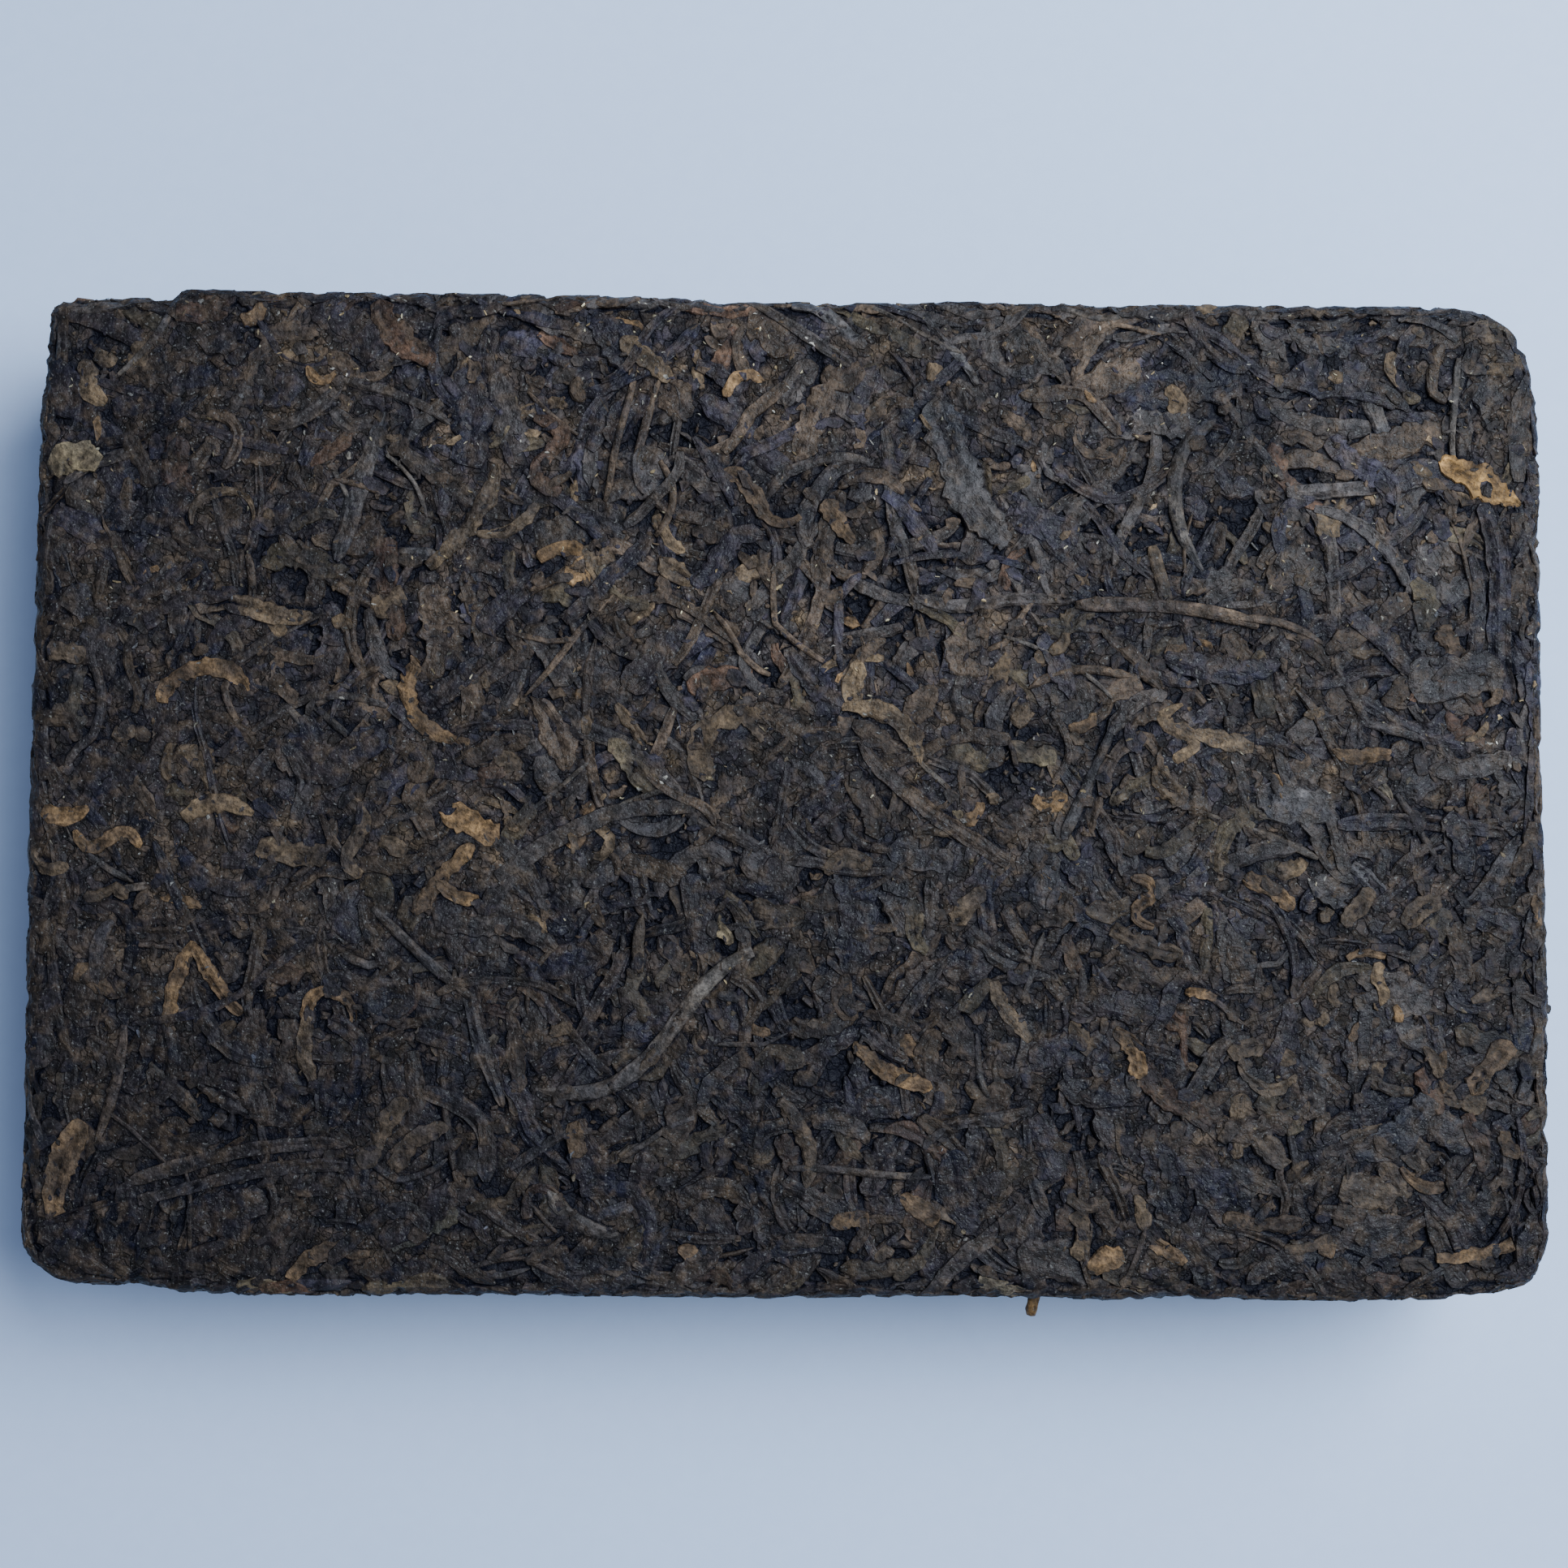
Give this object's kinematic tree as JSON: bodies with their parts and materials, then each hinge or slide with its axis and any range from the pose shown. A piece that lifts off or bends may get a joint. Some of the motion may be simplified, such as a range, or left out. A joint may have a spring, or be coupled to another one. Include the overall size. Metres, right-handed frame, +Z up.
{
  "type": "pu-erh tea brick",
  "caption": "Rectangular brick of compressed dark tea leaf with uneven rounded corners, layered leafy sides, and a flat underside to lie on.",
  "frame": {"origin": "middle of the underside, on the surface that the brick lies on", "axes": "+X along the brick, +Y across it towards its back long side, +Z up through its thickness"},
  "size_m": [0.1512, 0.1014, 0.022],
  "materials": {
    "dark_leaf": "pressed dry tea leaf, dark brown to blue-black, dull with a faint satin on the smooth leaf backs",
    "brown_leaf": "dry tea leaf, mid brown to olive brown, dull",
    "golden_tip": "downy dried leaf bud, tan to golden brown, dull",
    "leaf_stem": "dry leaf stem, grey brown, faintly ribbed along its length"
  },
  "bodies": {
    "root": {"tea_brick": "dark_leaf"}
  },
  "joints": []
}
